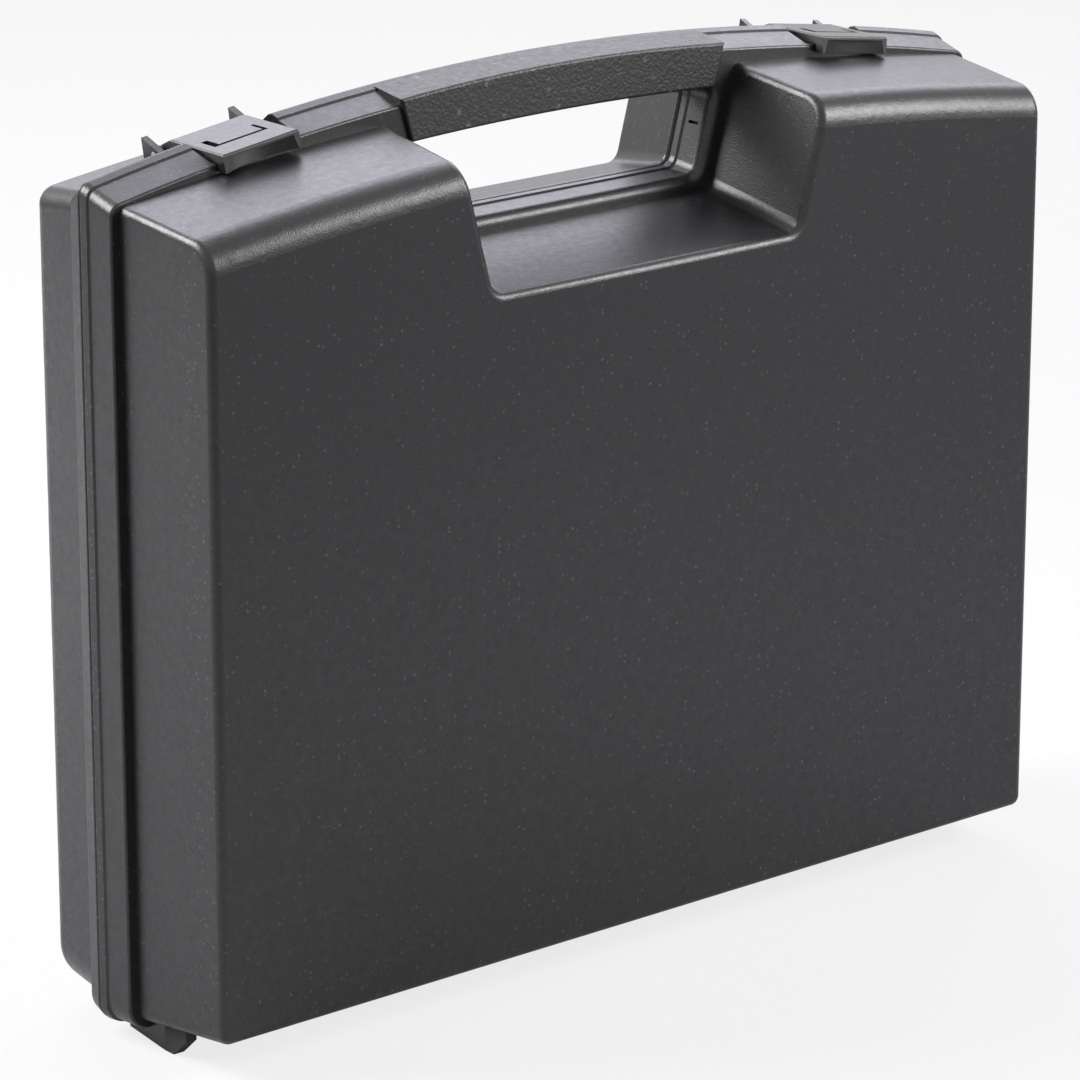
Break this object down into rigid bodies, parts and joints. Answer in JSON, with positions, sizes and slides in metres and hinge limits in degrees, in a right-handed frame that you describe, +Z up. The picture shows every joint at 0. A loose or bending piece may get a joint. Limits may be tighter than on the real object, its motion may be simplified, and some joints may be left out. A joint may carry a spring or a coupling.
{
  "type": "plastic transit case",
  "caption": "Moulded plastic transit case: a deep front half and a hinged back half, lever latches on the arched top, and a carrying handle with a grip over a hand notch.",
  "frame": {"origin": "middle of the case on the surface that its feet stand on", "axes": "+X along the width, -Y out of the deep front half's face, +Z up to the handle"},
  "size_m": [0.3422, 0.088, 0.2824],
  "materials": {
    "shell_plastic": "charcoal polypropylene with a fine spark-eroded grain",
    "grip_plastic": "charcoal polypropylene with a coarser grain",
    "latch_plastic": "black moulded plastic, smoother than the shells",
    "pin_steel": "plain drawn steel wire",
    "foot_rubber": "black rubber"
  },
  "bodies": {
    "base": {"front_shell": "shell_plastic", "handle_grip": "grip_plastic", "hinge_pin_left": "pin_steel", "hinge_pin_right": "pin_steel", "foot_front_left": "foot_rubber", "foot_front_right": "foot_rubber"},
    "lid": {"back_shell": "shell_plastic", "latch_pin_left": "pin_steel", "latch_pin_right": "pin_steel", "foot_rear_left": "foot_rubber", "foot_rear_right": "foot_rubber"},
    "left_latch": {"latch_left": "latch_plastic"},
    "right_latch": {"latch_right": "latch_plastic"}
  },
  "joints": [
    {"name": "lid_hinge", "type": "hinge", "parent": "base", "child": "lid", "pos_m": [0, 0.011, 0.0042], "axis": [-1, 0, 0], "range_deg": [0, 110]},
    {"name": "left_latch_pivot", "type": "hinge", "parent": "lid", "child": "left_latch", "pos_m": [-0.11766, 0.0245, 0.26828], "axis": [-0.99, 0, -0.1407], "range_deg": [0, 105]},
    {"name": "right_latch_pivot", "type": "hinge", "parent": "lid", "child": "right_latch", "pos_m": [0.11766, 0.0245, 0.26828], "axis": [-0.99, 0, 0.1407], "range_deg": [0, 105]}
  ]
}
